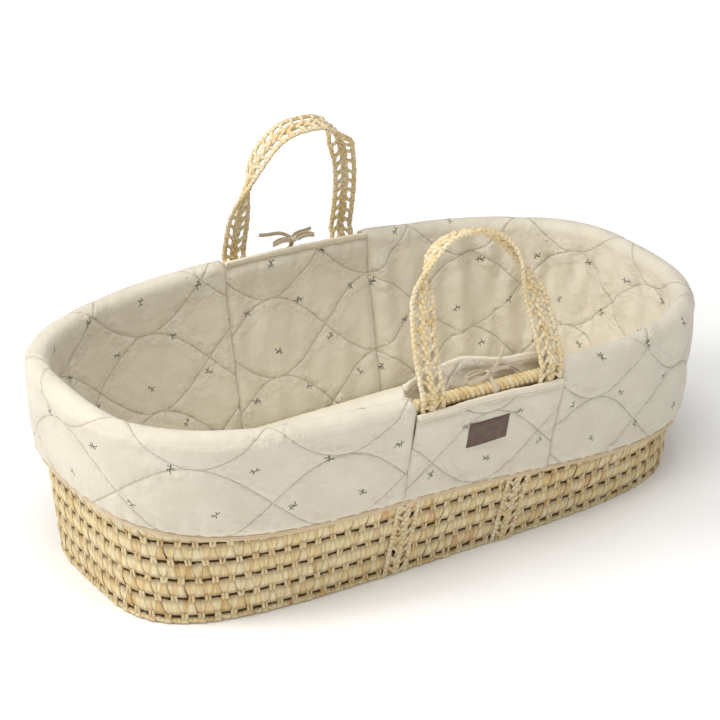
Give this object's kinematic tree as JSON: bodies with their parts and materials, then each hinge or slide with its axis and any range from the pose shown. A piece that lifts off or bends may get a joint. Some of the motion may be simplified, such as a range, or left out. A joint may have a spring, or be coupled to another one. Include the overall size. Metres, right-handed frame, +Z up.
{
  "type": "moses basket",
  "caption": "Woven palm-leaf moses basket with two strap handles, a quilted cotton liner tied over the rim and a flat mattress.",
  "frame": {"origin": "on the floor, under the middle of the basket", "axes": "+X towards the head end, which has the lower rim; +Y across, towards the back handle; +Z up"},
  "size_m": [0.8398, 0.4638, 0.4308],
  "materials": {
    "palm_leaf": "dry woven palm leaf, matt with a faint sheen along the leaf",
    "plaited_palm": "plaited palm leaf cords, matt",
    "quilted_cotton": "plain-weave cotton, quilted and printed with small sprigs",
    "cotton_tape": "cotton bias tape, stitched",
    "label_patch": "plain stitched patch, satin",
    "mattress_ticking": "smooth cotton jersey",
    "foam": "open-cell foam"
  },
  "bodies": {
    "basket": {"base_mat": "palm_leaf", "bottom_edge": "palm_leaf", "wall_row_1": "palm_leaf", "wall_row_2": "palm_leaf", "wall_row_3": "palm_leaf", "wall_row_4": "palm_leaf", "wall_row_5": "palm_leaf", "wall_row_6": "palm_leaf", "wall_row_7": "palm_leaf", "wall_row_8": "palm_leaf", "wall_row_9": "palm_leaf", "rim_rope": "palm_leaf", "strap_front_left": "plaited_palm", "strap_front_right": "plaited_palm", "strap_back_left": "plaited_palm", "strap_back_right": "plaited_palm", "base_strap_left": "plaited_palm", "base_strap_right": "plaited_palm", "liner_foot_end": "quilted_cotton", "liner_head_end": "quilted_cotton", "liner_inner_front": "quilted_cotton", "skirt_flap_front": "quilted_cotton", "liner_inner_back": "quilted_cotton", "skirt_flap_back": "quilted_cotton", "binding_inner_front": "cotton_tape", "binding_flap_front": "cotton_tape", "binding_inner_back": "cotton_tape", "binding_flap_back": "cotton_tape", "hem_binding": "cotton_tape", "tie_tab_front": "cotton_tape", "tie_knot_front": "cotton_tape", "tie_tab_back": "cotton_tape", "tie_knot_back": "cotton_tape", "bow_loop_front_left": "cotton_tape", "bow_loop_front_right": "cotton_tape", "tie_tail_front_left": "cotton_tape", "tie_tail_front_right": "cotton_tape", "bow_loop_back_left": "cotton_tape", "bow_loop_back_right": "cotton_tape", "tie_tail_back_left": "cotton_tape", "tie_tail_back_right": "cotton_tape", "label_patch": "label_patch"},
    "front_handle": {"handle_front": "plaited_palm"},
    "back_handle": {"handle_back": "plaited_palm"},
    "mattress": {"mattress_cover": "mattress_ticking", "mattress_core": "foam"}
  },
  "joints": [
    {"name": "front_handle_swing", "type": "hinge", "parent": "basket", "child": "front_handle", "pos_m": [0.0245, -0.228, 0.254], "axis": [1, 0, 0], "range_deg": [-30, 172]},
    {"name": "back_handle_swing", "type": "hinge", "parent": "basket", "child": "back_handle", "pos_m": [0.0245, 0.228, 0.254], "axis": [1, 0, 0], "range_deg": [-163, 47]},
    {"name": "mattress_lift", "type": "slide", "parent": "basket", "child": "mattress", "axis": [0, 0.035, 0.9994], "range_m": [0, 0.45]}
  ]
}
